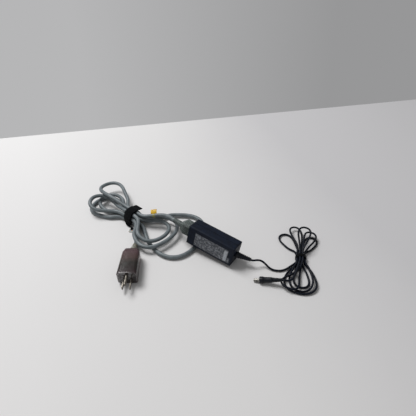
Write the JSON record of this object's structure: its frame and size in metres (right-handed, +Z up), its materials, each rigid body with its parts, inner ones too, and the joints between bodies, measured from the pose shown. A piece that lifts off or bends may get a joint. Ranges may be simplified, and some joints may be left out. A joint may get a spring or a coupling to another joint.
{
  "type": "laptop power adapter",
  "caption": "Laptop power adapter: a slim brick with a detachable mains lead hanked under a strap and a captive low-voltage lead ending in a barrel plug.",
  "frame": {"origin": "on the floor under the middle of the brick", "axes": "+X runs along the brick towards its low-voltage end, +Z is up, -Y is the side of the label"},
  "size_m": [0.4996, 0.3002, 0.0531],
  "materials": {
    "case_plastic": "fine matt moulding texture with a faint blue-violet sheen",
    "label_film": "matt printed film, left bare",
    "inlet_plastic": "matt black",
    "nickel_plate": "nickel plated brass",
    "board_laminate": "green board laminate",
    "film_sheet": "translucent insulating film",
    "fuse_glass": "clear tube with metal caps",
    "capacitor_box": "yellow box capacitor",
    "wound_copper": "enamelled copper wire",
    "chip_epoxy": "moulded epoxy",
    "can_sleeve": "shrink sleeve on an aluminium can",
    "sink_aluminium": "bare sheet",
    "ferrite": "sintered ferrite",
    "winding_tape": "polyester tape over the winding",
    "black_jacket": "soft black jacket, satin",
    "grey_jacket": "grey round jacket, satin",
    "grey_moulding": "grey moulded connector, satin",
    "hook_strap": "woven hook and loop strap",
    "clear_ring": "milky translucent plastic",
    "yellow_film": "yellow tape tag",
    "smoky_plastic": "smoky translucent moulding",
    "clear_relief": "clear yellowish flexible moulding",
    "prong_metal": "nickel plated brass",
    "contact_metal": "spring brass"
  },
  "bodies": {
    "brick": {"shell_label_side": "case_plastic", "shell_plain_side": "case_plastic", "rating_label": "label_film", "blank_patch": "label_film", "inlet_housing": "inlet_plastic", "inlet_pins": "nickel_plate", "circuit_board": "board_laminate", "insulation_sheet": "film_sheet", "fuse": "fuse_glass", "x_capacitor": "capacitor_box", "filter_choke": "wound_copper", "bridge_rectifier": "chip_epoxy", "bulk_capacitor": "can_sleeve", "primary_heatsink": "sink_aluminium", "switching_transistor": "chip_epoxy", "transformer_core": "ferrite", "transformer_winding": "winding_tape", "secondary_heatsink": "sink_aluminium", "output_rectifier": "chip_epoxy", "output_capacitors": "can_sleeve", "output_choke": "wound_copper", "dc_strain_relief": "black_jacket", "dc_cord_lead": "black_jacket", "dc_cord_hank": "black_jacket", "dc_cord_tail": "black_jacket", "dc_tie": "black_jacket", "dc_plug_grip": "black_jacket", "dc_plug_barrel": "nickel_plate", "dc_plug_insulator": "inlet_plastic", "dc_plug_contact": "contact_metal"},
    "mains_lead": {"connector_body": "grey_moulding", "connector_contacts": "contact_metal", "connector_strain_relief": "grey_moulding", "mains_cord_lead": "grey_jacket", "mains_cord_hank": "grey_jacket", "mains_cord_tail": "grey_jacket", "cord_strap": "hook_strap", "strap_ring": "clear_ring", "yellow_tag": "yellow_film", "plug_strain_relief": "clear_relief", "plug_body": "smoky_plastic", "plug_face": "smoky_plastic", "plug_blades": "prong_metal", "plug_earth_pin": "prong_metal"}
  },
  "joints": [
    {"name": "connector_pull", "type": "slide", "parent": "brick", "child": "mains_lead", "axis": [-0.9945, 0, 0.1045], "range_m": [0, 0.022]}
  ]
}
